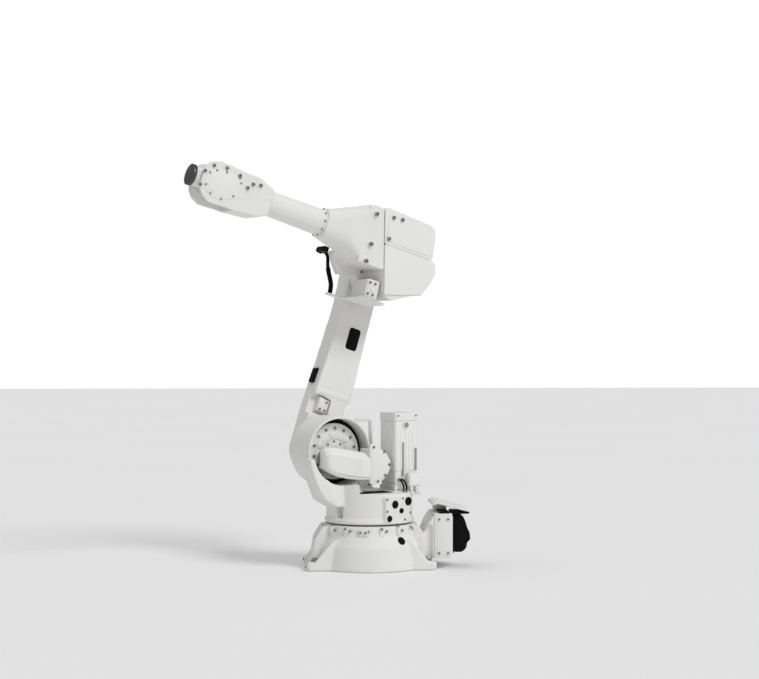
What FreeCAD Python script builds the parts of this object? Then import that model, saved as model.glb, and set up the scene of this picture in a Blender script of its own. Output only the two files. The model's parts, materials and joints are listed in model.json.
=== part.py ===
"""Six-axis industrial robot arm on its floor base, in millimetres.

Frame: the origin is on the vertical axis 1 at the floor, +Z is up, +X points away from the
connector box, and +Y is to the left of somebody who stands behind the arm.
Each link is drawn upright in its own frame and then turned to the pose it is kept in.
The lower arm stands on the right of the turntable, and its motor is in a round recess on the left.
"""
import FreeCAD
import Part
import math
import os

V = FreeCAD.Vector

# Joint centres
AXIS_2_HEIGHT = 445.0
AXIS_2_FORWARD = 150.0
LOWER_ARM_LENGTH = 700.0
ELBOW_OFFSET = 115.0
WRIST_REACH = 795.0
FLANGE_REACH = 85.0

# Pose in which the arm is kept, degrees
TURN = 26.0
LEAN_BACK = 17.5
PITCH_UP = 16.0

# Running gaps between pieces that move
SHAFT_GAP = 0.5
FACE_GAP = 6.0

# Base
BASE_TOP = 168.0
FLOOR_RADIUS = 213.0
SKIRT_RADIUS = 205.0
SKIRT_HEIGHT = 90.0
SHOULDER_RADIUS = 177.0
SHOULDER_HEIGHT = 136.0
WALL_HALF = 86.0
WEB_IN = 128.0
WEB_OUT = 148.0
BOLT_X = 215.0
BOLT_Y = 108.0
BOLT_HOLE_RADIUS = 9.0
WASHER_ROOM = 19.0
FOOT_HEIGHT = 30.0
BOX_FRONT = -240.0
BOX_REAR = -309.0
BOX_TOP = 208.0
BOX_HALF = 105.0

# Turntable
DRUM_RADIUS = 165.0
DRUM_TOP = 289.0
FLANGE_RADIUS = 172.0
TURNTABLE_BOTTOM = 174.0
SPIGOT_RADIUS = 110.0
HOUSING_RADIUS = 134.0
HOUSING_FAR = -115.0
HOUSING_NEAR = 35.0
CHIN_FAR = -70.0
PAD_AZIMUTH = 101.0
HUB_FACE = -6.0
RECESS_RADIUS = 125.0
RECESS_FLOOR = -40.0
HUB_RADIUS = 108.0
COVER_NEAR = 118.0

# Lower arm
ARM_NEAR = HOUSING_FAR - FACE_GAP
ARM_FAR = ARM_NEAR - 88.0
LOBE_RADIUS = 90.0
ELBOW_LOBE_RADIUS = 78.0
SHAFT_RADIUS = 45.0
SHAFT_DEPTH = 40.0

# Upper arm, forearm and wrist
SECTION_SIDES = 24
SECTION_POWER = 0.7
FLARE = [(150, 80, 24, 232), (168, 80, 30, 226), (205, 74, 37, 212), (247, 68, 42, 198), (290, 60, 52, 179),
         (318, 56, 59, 171)]
GEAR_NEAR = -50.0
GEAR_RADIUS = 84.0
HOSE_RADIUS = 9.0
HOSE_ROUTE = [(231.7, -98, 37), (214, -98, 37), (201, -98, 20), (195, -98, -6), (184, -98, -32), (169, -98, -57),
              (156, -98, -83), (156, -98, -109.7)]
TUBE_RADIUS = 46.0
TUBE_END_RADIUS = 51.0
TUBE_START = 318.0
WRIST_START = 560.0
FORK_HALF = 52.0
FORK_GAP = 45.5
PIN_REACH = 51.5
FORK_ROOT = 700.0
TOOL_FLANGE_RADIUS = 40.0


def box(x, y, z):
    """Block between the pairs of limits x, y and z."""
    return Part.makeBox(x[1] - x[0], y[1] - y[0], z[1] - z[0], V(x[0], y[0], z[0]))


def rod(start, end, radius, end_radius=None):
    """Cylinder, or cone if end_radius is given, from start to end."""
    start = V(*start)
    along = V(*end) - start
    if end_radius is None or end_radius == radius:
        return Part.makeCylinder(radius, along.Length, start, along)
    return Part.makeCone(radius, end_radius, along.Length, start, along)


def cross_rod(x, z, y, radius):
    """Cylinder along Y through (x, z), between two y limits."""
    return rod((x, y[0], z), (x, y[1], z), radius)


def turned(profile):
    """Solid of revolution about Z from (radius, height) points."""
    points = [V(r, 0, z) for r, z in profile]
    face = Part.Face(Part.makePolygon(points + points[:1]))
    return face.revolve(V(0, 0, 0), V(0, 0, 1), 360)


def side_plate(outline, y):
    """Plate with an (x, z) outline, between two y limits."""
    points = [V(px, y[0], pz) for px, pz in outline]
    face = Part.Face(Part.makePolygon(points + points[:1]))
    return face.extrude(V(0, y[1] - y[0], 0))


def fused(first, *others):
    """One solid from pieces that overlap."""
    return first.fuse(list(others)).removeSplitter()


def rounded(shape, radius, wanted):
    """Fillet the straight edges that wanted(edge direction, edge middle) picks."""
    edges = []
    for edge in shape.Edges:
        if len(edge.Vertexes) < 2 or edge.Curve.TypeId != "Part::GeomLine":
            continue
        ends = edge.Vertexes[1].Point - edge.Vertexes[0].Point
        if wanted(ends.normalize(), edge.CenterOfMass):
            edges.append(edge)
    return shape.makeFillet(radius, edges)


def upright(direction, _middle):
    return abs(direction.z) > 0.99


def rear_upright(direction, middle):
    return abs(direction.z) > 0.99 and middle.x < BOX_REAR + 1


def along_x(direction, _middle):
    return abs(direction.x) > 0.99


def along_y(direction, _middle):
    return abs(direction.y) > 0.99


def corners():
    """Signs of the four corners of the base."""
    return [(sx, sy) for sx in (-1, 1) for sy in (-1, 1)]


# ---------------------------------------------------------------- base

def base_casting():
    skirt = turned([(0, 0), (FLOOR_RADIUS, 0), (SKIRT_RADIUS, SKIRT_HEIGHT),
                    (SHOULDER_RADIUS, SHOULDER_HEIGHT), (SHOULDER_RADIUS - 3, BASE_TOP), (0, BASE_TOP)])
    pieces = []
    for side in (-1, 1):
        wall = [(0, 0), (232, 0), (232, FOOT_HEIGHT), (222, 58), (214, 111), (183, 162), (0, 162)]
        pieces.append(side_plate([(side * x, z) for x, z in wall], (-WALL_HALF, WALL_HALF)))
    for sx, sy in corners():
        xs = sorted((sx * 150, sx * 244))
        ys = sorted((sy * (WALL_HALF - 2), sy * WEB_OUT))
        pieces.append(rounded(box(xs, ys, (0, FOOT_HEIGHT)), 14, upright))
        web = [(100, 0), (218, 0), (218, FOOT_HEIGHT), (149, 114), (100, 114)]
        ys = sorted((sy * WEB_IN, sy * WEB_OUT))
        pieces.append(side_plate([(sx * x, z) for x, z in web], ys))
    pieces.append(side_plate([(-100, 40), (-100, 120), (-200, 132), (-214, 166), (BOX_FRONT, BOX_TOP), (BOX_FRONT, 40)],
                             (-BOX_HALF, BOX_HALF)))
    body = fused(skirt, *pieces)
    cuts = [rod((0, 0, 120), (0, 0, BASE_TOP + 60), SPIGOT_RADIUS + SHAFT_GAP)]
    for sx, sy in corners():
        x = sx * BOLT_X
        y = sy * BOLT_Y
        cuts.append(rod((x, y, -1), (x, y, FOOT_HEIGHT + 1), BOLT_HOLE_RADIUS))
        cuts.append(rod((x, y, FOOT_HEIGHT), (x, y, BASE_TOP), WASHER_ROOM))
    return body.cut(cuts)


def rear_box():
    return rounded(box((BOX_REAR, BOX_FRONT), (-BOX_HALF, BOX_HALF), (40, BOX_TOP)), 8, rear_upright)


def rear_lid():
    """Sloping plate over the cable way, on a narrow web."""
    plate = side_plate([(-236, 238), (-236, 249), (-256, 255), (-376, 222), (-376, 212), (-256, 244)], (-85, 85))
    web = side_plate([(-250, BOX_TOP), (-250, 250), (-302, 236), (-302, BOX_TOP)], (-60, -30))
    return fused(plate, web)


def connector_block():
    return rounded(box((-378, BOX_REAR), (-20, 80), (66, 206)), 8, along_x)


def signal_connector():
    return rod((BOX_REAR, -60, 120), (-352, -60, 120), 24)


def base_plug():
    slope = math.atan2(SKIRT_RADIUS - SHOULDER_RADIUS, SHOULDER_HEIGHT - SKIRT_HEIGHT)
    at = (SKIRT_RADIUS + SHOULDER_RADIUS) / 2
    height = (SKIRT_HEIGHT + SHOULDER_HEIGHT) / 2
    plug = rod((at, 0, height), (at + 2.5 * math.cos(slope), 0, height + 2.5 * math.sin(slope)), 16)
    plug.rotate(V(0, 0, 0), V(0, 0, 1), 125)
    return plug


# ---------------------------------------------------------------- turntable

def turntable_casting():
    x = AXIS_2_FORWARD
    z = AXIS_2_HEIGHT
    drum = turned([(0, 130), (SPIGOT_RADIUS, 130), (SPIGOT_RADIUS, TURNTABLE_BOTTOM),
                   (FLANGE_RADIUS, TURNTABLE_BOTTOM), (FLANGE_RADIUS, 189), (DRUM_RADIUS, 192),
                   (DRUM_RADIUS, DRUM_TOP), (0, DRUM_TOP)])
    near_rise = rod((0, 0, 200), (0, 0, 330), DRUM_RADIUS).common(box((112, 200), (HOUSING_NEAR, 200), (190, 329)))
    chin = side_plate([(60, 236), (164, 236), (210, 262), (243, 343), (252, 372), (x, z), (60, z)],
                      (CHIN_FAR, HOUSING_NEAR))
    pad = box((150, DRUM_RADIUS + 4), (-64, 64), (182, 278))
    pad.rotate(V(0, 0, 0), V(0, 0, 1), PAD_AZIMUTH)
    cheek = side_plate([(60, 240), (176, 240), (222, 262), (250, 298), (272, 344), (289, 393), (294, 420), (x, z),
                        (70, 300)], (HOUSING_NEAR - 20, 70))
    housing = cross_rod(x, z, (HOUSING_FAR, HOUSING_NEAR), HOUSING_RADIUS)
    body = fused(drum, near_rise, chin, cheek, housing, pad)
    recess = cross_rod(x, z, (RECESS_FLOOR, 250), RECESS_RADIUS)
    pocket = box((132, 190), (30, 62), (196, 246))
    body = body.cut([recess, pocket])
    shaft = cross_rod(x, z, (ARM_NEAR - SHAFT_DEPTH, HOUSING_FAR + 10), SHAFT_RADIUS)
    return fused(body, shaft)


def axis_2_hub():
    return cross_rod(AXIS_2_FORWARD, AXIS_2_HEIGHT, (RECESS_FLOOR, HUB_FACE), HUB_RADIUS)


def axis_2_motor():
    return rounded(box((90, 222), (HUB_FACE, HOUSING_NEAR + 1), (366, 448)), 16, along_y)


def axis_2_motor_cover():
    outline = [(236, 470), (62, 440), (62, 339), (172, 333), (222, 352), (236, 378)]
    return side_plate(outline, (HOUSING_NEAR + 1, COVER_NEAR))


def axis_2_bridge():
    outline = [(61.5, 480), (20, 462), (-12, 438), (-30, 410), (-26, 372), (0, 340), (36, 322), (61.5, 322)]
    return side_plate(outline, (100, COVER_NEAR - 4))


def bridge_bracket():
    inner = side_plate([(-20, 350), (-20, 430), (14, 456), (14, 350)], (HOUSING_NEAR - 20, 100))
    outer = box((14, 61.5), (HOUSING_NEAR + 1, 100), (350, 456))
    return fused(inner, outer).removeSplitter()


def axis_1_motor():
    return rounded(box((-150, -43), (0, 120), (DRUM_TOP, 591)), 12, upright)


def axis_1_terminal_box():
    return rounded(box((-150, -92), (120, 142), (DRUM_TOP + 2, 362)), 6, along_y)


def lifting_lug():
    outer = side_plate([(-70, DRUM_TOP), (-70, 554), (-60, 564), (0, 564), (10, 554), (10, DRUM_TOP)], (-106, -94))
    return outer.cut(box((-58, -2), (-120, 0), (430, 552)))


def drum_plug(across, height, radius):
    """Round plug on the flat pad of the drum."""
    face = DRUM_RADIUS + 4
    plug = rod((face, across, height), (face + 3, across, height), radius)
    plug.rotate(V(0, 0, 0), V(0, 0, 1), PAD_AZIMUTH)
    return plug


def drum_plug_1():
    return drum_plug(-19, 249, 15)


def drum_plug_2():
    return drum_plug(48, 258, 16)


def drum_plug_3():
    return drum_plug(13, 224, 10)


def drum_plug_4():
    return drum_plug(-47, 197, 12)


# ---------------------------------------------------------------- lower arm, origin on axis 2

def lower_arm_casting():
    y = (ARM_FAR, ARM_NEAR)
    lobe = cross_rod(0, 0, y, LOBE_RADIUS)
    beam = side_plate([(-89, 0), (-70, 100), (-58, 198), (-76, 208), (-68, 450), (-64, 640), (-77, 690), (77, 690),
                       (70, 560), (73, 450), (78, 329), (84, 233), (89, 130), (89.5, 0)], y)
    top = cross_rod(0, LOWER_ARM_LENGTH, y, ELBOW_LOBE_RADIUS)
    body = fused(lobe, beam, top)
    depth = (ARM_NEAR - SHAFT_DEPTH - 0.5, ARM_NEAR + 1)
    bore = cross_rod(0, 0, depth, SHAFT_RADIUS + SHAFT_GAP)
    pivot = cross_rod(0, LOWER_ARM_LENGTH, depth, SHAFT_RADIUS + SHAFT_GAP)
    window = side_plate([(8, 128), (8, 196), (60, 205), (96, 200), (96, 128)], (ARM_NEAR - 32, ARM_NEAR + 1))
    return body.cut([bore, pivot, window])


def stop_block():
    return side_plate([(14, 142), (14, 190), (58, 197), (58, 142)], (ARM_NEAR - 32, ARM_NEAR - 2))


def arm_side_plug():
    return rounded(box((-37, 13), (ARM_NEAR, ARM_NEAR + 3), (408, 494)), 12, along_y)


def arm_front_plug():
    return side_plate([(83.5, 243), (95, 247), (91, 302), (79.6, 306)], (ARM_FAR + 22, ARM_NEAR - 34))


def arm_lower_cover():
    return cross_rod(0, 0, (ARM_FAR - 6, ARM_FAR), 70)


def arm_upper_cover():
    return cross_rod(0, LOWER_ARM_LENGTH, (ARM_FAR - 6, ARM_FAR), 60)


# ---------------------------------------------------------------- upper arm, origin on axis 3

def ring_section(x, half_width, low, high):
    """Rounded-square wire across the forearm at x."""
    points = []
    middle = (low + high) / 2
    half_height = (high - low) / 2
    for step in range(SECTION_SIDES):
        angle = 2 * math.pi * (step + 0.5) / SECTION_SIDES
        c = math.cos(angle)
        d = math.sin(angle)
        y = half_width * math.copysign(abs(c) ** SECTION_POWER, c)
        z = middle + half_height * math.copysign(abs(d) ** SECTION_POWER, d)
        points.append(V(x, y, z))
    return Part.makePolygon(points + points[:1])


def seam(z):
    """x of the joint between the elbow casting and its rear cover."""
    return 21 + (z + 92) * 90 / 332


def elbow_casting():
    front = side_plate([(seam(8), 8), (seam(232), 232), (130, 235), (168, 228), (168, 8)], (-84, 84))
    flare = Part.makeLoft([ring_section(*row) for row in FLARE], True, True)
    gear = cross_rod(0, 0, (HOUSING_FAR, GEAR_NEAR), GEAR_RADIUS)
    neck = box((20, 150), (-84, GEAR_NEAR), (-20, 60))
    ear = side_plate([(120, 60), (160, 60), (214, 40), (190, 0), (160, -36), (118, -28)], (-88, -50))
    shaft = cross_rod(0, 0, (ARM_NEAR - SHAFT_DEPTH, -100), SHAFT_RADIUS)
    return fused(front, flare, gear, neck, ear, shaft)


def rear_cover():
    """Large moulded cover round the back of the elbow."""
    outline = [(seam(236) - 1, 236), (96, 242), (-103, 236), (-130, 226), (-139, 177), (-148, 106), (-166, 96),
               (-174, 58), (-160, 12), (-136, -32), (-90, -52), (-20, -92), (seam(-92) - 1, -92)]
    block = side_plate(outline, (-88, 88))
    return block.cut(cross_rod(0, 0, (-120, GEAR_NEAR + 3), GEAR_RADIUS + 3))


def bottom_bracket():
    plate = box((0, 118), (-112, 70), (-118, -110))
    return fused(plate, box((100, 168), (-112, -84), (-118, -110)))


def axis_3_motor():
    return rounded(box((38, 92), (GEAR_NEAR, 60), (-108, -36)), 8, along_y)


def hose_gland():
    """Block on the flare that the elbow hose comes out of."""
    block = box((232, 256), (-108, -40), (22, 50))
    return block.cut(elbow_casting())


def cord(points, radius):
    """Tube along straight runs joined by tangent arcs."""
    points = [V(*point) for point in points]
    edges = []
    start = points[0]
    for before, corner, after in zip(points, points[1:], points[2:]):
        inward = (before - corner).normalize()
        outward = (after - corner).normalize()
        half_turn = (math.pi - inward.getAngle(outward)) / 2
        reach = 0.45 * min((before - corner).Length, (after - corner).Length)
        print("cord bend radius", round(reach / math.tan(half_turn), 1))
        first = corner + inward * reach
        last = corner + outward * reach
        middle = (inward + outward).normalize()
        centre = middle * (reach / math.tan(half_turn) / math.cos(half_turn))
        crown = corner + centre - middle * (reach / math.tan(half_turn))
        edges.append(Part.LineSegment(start, first).toShape())
        edges.append(Part.Arc(first, crown, last).toShape())
        start = last
    edges.append(Part.LineSegment(start, points[-1]).toShape())
    path = Part.Wire(edges)
    profile = Part.Wire([Part.makeCircle(radius, points[0], points[1] - points[0])])
    tube = path.makePipeShell([profile], True, False)
    print("cord length", round(path.Length, 1), "volume over section", round(tube.Volume / math.pi / radius ** 2, 1))
    return tube


def elbow_hose():
    return cord(HOSE_ROUTE, HOSE_RADIUS)


# ---------------------------------------------------------------- forearm, same origin, turns about its tube

def forearm_tube():
    z = ELBOW_OFFSET
    return rod((TUBE_START + SHAFT_GAP, 0, z), (WRIST_START, 0, z), TUBE_END_RADIUS, TUBE_RADIUS)


def wrist_casting():
    z = ELBOW_OFFSET
    body = side_plate([(WRIST_START, z - 55), (WRIST_START, z + 45), (580, z + 50), (625, z + 68), (700, z + 69),
                       (745, z + 74), (790, z + 75), (830, z + 61), (850, z + 35), (850, z - 43), (832, z - 69), (800, z - 85),
                       (690, z - 82), (600, z - 73)], (-FORK_HALF, FORK_HALF))
    slot = box((FORK_ROOT, 900), (-FORK_GAP, FORK_GAP), (z - 120, z + 120))
    pivot = cross_rod(WRIST_REACH, z, (-56, 56), 20 + SHAFT_GAP)
    return body.cut([slot, pivot])


def wrist_cover(y):
    z = ELBOW_OFFSET
    return side_plate([(648, z + 20), (664, z + 52), (760, z + 62), (812, z + 56), (840, z + 28), (842, z - 30),
                       (812, z - 58), (758, z - 66), (680, z - 30)], y)


def wrist_cover_left():
    return wrist_cover((FORK_HALF, FORK_HALF + 3))


def wrist_cover_right():
    return wrist_cover((-FORK_HALF - 3, -FORK_HALF))


# ---------------------------------------------------------------- wrist, origin on axis 5

def tilt_housing():
    barrel = cross_rod(0, 0, (FACE_GAP - FORK_GAP, FORK_GAP - FACE_GAP), 40)
    pins = cross_rod(0, 0, (-PIN_REACH, PIN_REACH), 20)
    nose = rod((0, 0, 0), (70, 0, 0), 36)
    nose.rotate(V(0, 0, 0), V(1, 0, 0), 37)
    barrel.rotate(V(0, 0, 0), V(0, 1, 0), 180)
    return fused(barrel, pins, nose)


def tool_flange():
    disc = rod((71, 0, 0), (FLANGE_REACH, 0, 0), TOOL_FLANGE_RADIUS)
    holes = []
    for step in range(4):
        angle = math.radians(45 + 90 * step)
        y = 25 * math.cos(angle)
        z = 25 * math.sin(angle)
        holes.append(rod((75, y, z), (FLANGE_REACH + 1, y, z), 3.4))
    return disc.cut(holes)


# ---------------------------------------------------------------- poses

def spun(axis, degrees):
    """Placement that turns by degrees about an axis through the origin."""
    return FreeCAD.Placement(V(0, 0, 0), FreeCAD.Rotation(V(*axis), degrees))


def shifted(x, y, z):
    return FreeCAD.Placement(V(x, y, z), FreeCAD.Rotation())


def link_frames():
    """Placement of each body's own frame."""
    base = FreeCAD.Placement()
    table = spun((0, 0, 1), TURN)
    lower = table.multiply(shifted(AXIS_2_FORWARD, 0, AXIS_2_HEIGHT)).multiply(spun((0, 1, 0), -LEAN_BACK))
    upper = lower.multiply(shifted(0, 0, LOWER_ARM_LENGTH)).multiply(spun((0, 1, 0), LEAN_BACK - PITCH_UP))
    wrist = upper.multiply(shifted(WRIST_REACH, 0, ELBOW_OFFSET))
    return {"base": base, "turntable": table, "lower_arm": lower, "upper_arm": upper,
            "forearm": upper, "wrist": wrist, "tool_flange": wrist}


BODIES = {
    "base": [base_casting, rear_box, rear_lid, connector_block, signal_connector, base_plug],
    "turntable": [turntable_casting, axis_2_hub, axis_2_motor, axis_2_motor_cover, axis_2_bridge, bridge_bracket,
                  axis_1_motor, axis_1_terminal_box, lifting_lug, drum_plug_1, drum_plug_2, drum_plug_3, drum_plug_4],
    "lower_arm": [lower_arm_casting, stop_block, arm_side_plug, arm_front_plug, arm_lower_cover, arm_upper_cover],
    "upper_arm": [elbow_casting, rear_cover, bottom_bracket, axis_3_motor, hose_gland, elbow_hose],
    "forearm": [forearm_tube, wrist_casting, wrist_cover_left, wrist_cover_right],
    "wrist": [tilt_housing],
    "tool_flange": [tool_flange],
}


def main():
    os.makedirs("parts", exist_ok=True)
    frames = link_frames()
    for body, pieces in BODIES.items():
        for piece in pieces:
            shape = piece()
            shape.Placement = frames[body].multiply(shape.Placement)
            print(body, piece.__name__, "valid", shape.isValid(), "solids", len(shape.Solids),
                  "litres", round(shape.Volume / 1e6, 3))
            shape.exportStep("parts/" + piece.__name__ + ".step")


if __name__ == "__main__":
    main()
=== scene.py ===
"""Looks of a six-axis floor-standing robot arm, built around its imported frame.

Every piece is drawn in millimetres in the frame of the link it belongs to: x forward, y to the left
and z up, as the link stands in its drawing. The link's matrix then puts it in its place.
"""
import json
import math

import bmesh
import bpy
from bpy.props import FloatProperty, FloatVectorProperty, PointerProperty
from mathutils import Matrix, Vector


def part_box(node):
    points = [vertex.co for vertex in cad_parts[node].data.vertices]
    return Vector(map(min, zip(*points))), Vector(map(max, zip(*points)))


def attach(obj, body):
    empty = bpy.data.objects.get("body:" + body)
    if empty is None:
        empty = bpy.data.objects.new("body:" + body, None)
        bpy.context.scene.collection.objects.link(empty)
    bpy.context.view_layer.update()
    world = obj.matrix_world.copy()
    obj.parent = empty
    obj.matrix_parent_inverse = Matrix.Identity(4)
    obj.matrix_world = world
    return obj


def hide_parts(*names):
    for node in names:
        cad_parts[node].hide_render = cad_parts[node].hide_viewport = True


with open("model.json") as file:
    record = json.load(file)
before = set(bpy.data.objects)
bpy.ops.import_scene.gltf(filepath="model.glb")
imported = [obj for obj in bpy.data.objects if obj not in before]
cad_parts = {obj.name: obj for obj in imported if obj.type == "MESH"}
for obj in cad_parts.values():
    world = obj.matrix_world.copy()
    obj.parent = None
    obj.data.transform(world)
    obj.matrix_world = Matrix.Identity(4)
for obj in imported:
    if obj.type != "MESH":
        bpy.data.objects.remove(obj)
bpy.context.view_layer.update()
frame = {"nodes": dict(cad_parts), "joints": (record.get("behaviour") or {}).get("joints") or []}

bl_info = {
    "name": "Robot arm finish",
    "version": (1, 0, 0),
    "blender": (4, 5, 0),
    "location": "View3D > Sidebar > Robot arm",
    "description": "Castings, covers, drives, screws and stage of a six-axis robot arm",
    "category": "Object",
}

JOINTS = {joint["name"]: joint for joint in frame["joints"]}

# Places on the links, in millimetres in each link's own frame
AXIS_2 = (150, 445)
DRUM_RADIUS = 165
DRUM_TOP = 289
PAD_AZIMUTH = 101
ARM_NEAR = -121
ARM_FAR = -209
ELBOW = 700
TUBE_HEIGHT = 115
FORK_HALF = 52
ANCHOR_X = 215
ANCHOR_Y = 108
JACK_Y = 118
JACK_HEIGHT = 15
NECK_PLACES = 16
NECK_RADIUS = 177
MOTOR_BOSS = (-92, 545)
LEAD_PLACES = (-62, -74)
LEAD_RADIUS = 3.4
WRIST_BOSSES = ((709, 47), (650, 34), (668, 14), (620, 40))
SIDEWAYS = (0, 1, 0)
HOSE_ROUTE = [(231.7, -98, 37), (214, -98, 37), (201, -98, 20), (195, -98, -6), (184, -98, -32),
              (169, -98, -57), (156, -98, -83), (156, -98, -109.7)]


# ---------------------------------------------------------------- link frames

def link_matrix(origin, forward, left):
    """Matrix from a link's millimetres to the row's metres."""
    up = forward.cross(left)
    turn = Matrix((forward, left, up)).transposed().to_4x4()
    return Matrix.Translation(origin) @ turn @ Matrix.Scale(0.001, 4)


def link_matrices():
    axis_2 = JOINTS["axis_2_lower_arm"]
    axis_3 = JOINTS["axis_3_upper_arm"]
    left = Vector(axis_2["axis"])
    shoulder = Vector(axis_2["pos_m"])
    elbow = Vector(axis_3["pos_m"])
    reach = Vector(JOINTS["axis_4_forearm_roll"]["axis"])
    wrist = Vector(JOINTS["axis_5_wrist_bend"]["pos_m"])
    return {
        "base": link_matrix(Vector((0, 0, 0)), Vector((1, 0, 0)), Vector(SIDEWAYS)),
        "turntable": link_matrix(Vector((0, 0, 0)), left.cross(Vector((0, 0, 1))), left),
        "lower_arm": link_matrix(shoulder, left.cross((elbow - shoulder).normalized()), left),
        "upper_arm": link_matrix(elbow, reach, left),
        "forearm": link_matrix(elbow, reach, left),
        "wrist": link_matrix(wrist, reach, left),
        "tool_flange": link_matrix(wrist, reach, left),
    }


LINKS = link_matrices()


# ---------------------------------------------------------------- shapes, each a list of corners and faces

def soft(outline, radius, steps=4):
    """The outline with its corners rounded."""
    points = []
    for index, corner in enumerate(outline):
        corner = Vector(corner)
        before = Vector(outline[index - 1]) - corner
        after = Vector(outline[(index + 1) % len(outline)]) - corner
        reach = min(radius, before.length * 0.45, after.length * 0.45)
        start = corner + before.normalized() * reach
        end = corner + after.normalized() * reach
        for step in range(steps + 1):
            t = step / steps
            points.append((1 - t) ** 2 * start + 2 * t * (1 - t) * corner + t ** 2 * end)
    return [(point.x, point.y) for point in points]


def loft(sections):
    """Closed shape through sections that have the same number of corners."""
    count = len(sections[0])
    corners = [corner for section in sections for corner in section]
    faces = [list(range(count)), list(range(len(corners) - count, len(corners)))]
    for start in range(0, len(corners) - count, count):
        for step in range(count):
            after = (step + 1) % count
            faces.append([start + step, start + after, start + count + after, start + count + step])
    return corners, faces


def slab(outline, low, high):
    """Plate with an (x, z) outline between two y levels."""
    return loft([[(x, y, z) for x, z in outline] for y in (low, high)])


def block(x, y, z):
    """Block between the pairs of limits x, y and z."""
    return slab([(x[0], z[0]), (x[1], z[0]), (x[1], z[1]), (x[0], z[1])], y[0], y[1])


def axes_to(along):
    """Rotation that takes z to a direction."""
    return Vector(along).to_track_quat("Z", "Y").to_matrix().to_4x4()


def turned(profile, at=(0, 0, 0), along=(0, 0, 1), sides=48):
    """Closed solid of revolution from (radius, height) points, about a line through at."""
    place = Matrix.Translation(at) @ axes_to(along)
    corners = []
    rings = []
    for radius, height in profile:
        size = 1 if radius == 0 else sides
        rings.append(list(range(len(corners), len(corners) + size)))
        for step in range(size):
            angle = 2 * math.pi * step / sides
            spot = Vector((radius * math.cos(angle), radius * math.sin(angle), height))
            corners.append(tuple(place @ spot))
    faces = []
    for ring, following in zip(rings, rings[1:]):
        for step in range(sides):
            corner = [ring[step % len(ring)], ring[(step + 1) % len(ring)],
                      following[(step + 1) % len(following)], following[step % len(following)]]
            faces.append(list(dict.fromkeys(corner)))
    return corners, faces


def disc(radius, low, high, at, along, edge=1.5, sides=40):
    """Round plate or boss with a softened front edge."""
    profile = [(0, low), (radius, low), (radius, high - edge), (radius - edge * 0.3, high - edge * 0.3),
               (radius - edge, high), (0, high)]
    return turned(profile, at, along, sides)


def moved(shape, matrix):
    corners, faces = shape
    return [tuple(matrix @ Vector(corner)) for corner in corners], faces


def cad_shape(node, body):
    """A merged copy of a frame node's mesh, in its link's millimetres."""
    bm = bmesh.new()
    bm.from_mesh(frame["nodes"][node].data)
    bmesh.ops.remove_doubles(bm, verts=bm.verts, dist=2e-6)
    bmesh.ops.transform(bm, matrix=LINKS[body].inverted(), verts=bm.verts)
    bmesh.ops.dissolve_limit(bm, angle_limit=math.radians(0.6), verts=bm.verts, edges=bm.edges)
    bm.verts.index_update()
    shape = [tuple(v.co) for v in bm.verts], [[v.index for v in face.verts] for face in bm.faces]
    bm.free()
    return shape


# ---------------------------------------------------------------- pieces

def in_scene(name, data):
    """New object in the scene's own collection."""
    added = bpy.data.objects.new(name, data)
    bpy.context.scene.collection.objects.link(added)
    return added


def drawn(name, shapes):
    """Object that holds closed shapes, their faces pointing outwards."""
    bm = bmesh.new()
    for corners, faces in shapes:
        start = len(bm.verts)
        for corner in corners:
            bm.verts.new(corner)
        bm.verts.ensure_lookup_table()
        made = [bm.faces.new([bm.verts[start + i] for i in face]) for face in faces]
        bmesh.ops.recalc_face_normals(bm, faces=made)
    mesh = bpy.data.meshes.new(name)
    bm.to_mesh(mesh)
    bm.free()
    return in_scene(name, mesh)


def modifier(piece, kind, **settings):
    added = piece.modifiers.new(kind.title(), kind)
    for key, value in settings.items():
        setattr(added, key, value)


def evaluated_mesh(piece):
    depsgraph = bpy.context.evaluated_depsgraph_get()
    depsgraph.update()
    return bpy.data.meshes.new_from_object(piece.evaluated_get(depsgraph))


def fitted(piece, body, finish, replaced=(), sharp=40):
    """Applies the modifiers, puts the piece in its place and ties it to its body."""
    mesh = evaluated_mesh(piece)
    piece.modifiers.clear()
    old = piece.data
    piece.data = mesh
    bpy.data.meshes.remove(old)
    mesh.name = piece.name
    mesh.transform(LINKS[body])
    mesh.shade_smooth()
    if sharp:
        mesh.set_sharp_from_angle(angle=math.radians(sharp))
    mesh.materials.clear()
    mesh.materials.append(material(finish))
    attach(piece, body)
    if replaced:
        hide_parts(*replaced)


def cast(name, body, node, added=(), voxel=4.0, rounds=5, finish="light_paint"):
    """Casting: the frame's shape with added bosses, run together with soft cast corners."""
    piece = drawn(name, [cad_shape(node, body), *added])
    modifier(piece, "REMESH", mode="VOXEL", voxel_size=voxel)
    modifier(piece, "SMOOTH", factor=0.5, iterations=rounds)
    fitted(piece, body, finish, (node,), sharp=0)


def machined(name, body, shapes, edge=2.0, finish="light_paint", replaced=(), segments=3):
    """Cover or machined piece: crisp faces with small rounded edges."""
    piece = drawn(name, shapes)
    modifier(piece, "BEVEL", width=edge, segments=segments, limit_method="ANGLE",
             angle_limit=math.radians(28), use_clamp_overlap=True)
    modifier(piece, "WEIGHTED_NORMAL", keep_sharp=True)
    fitted(piece, body, finish, replaced)


def redrawn(node, body, shapes, edge=2.0, finish="light_paint", segments=3):
    """Shapes that take the place of one frame node."""
    machined(node + "_finish", body, shapes, edge, finish, (node,), segments)


def finished_node(node, body, edge=2.0, finish="light_paint", added=()):
    """A frame node with rounded edges and added details."""
    redrawn(node, body, [cad_shape(node, body), *added], edge, finish)


# ---------------------------------------------------------------- finishes

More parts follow.
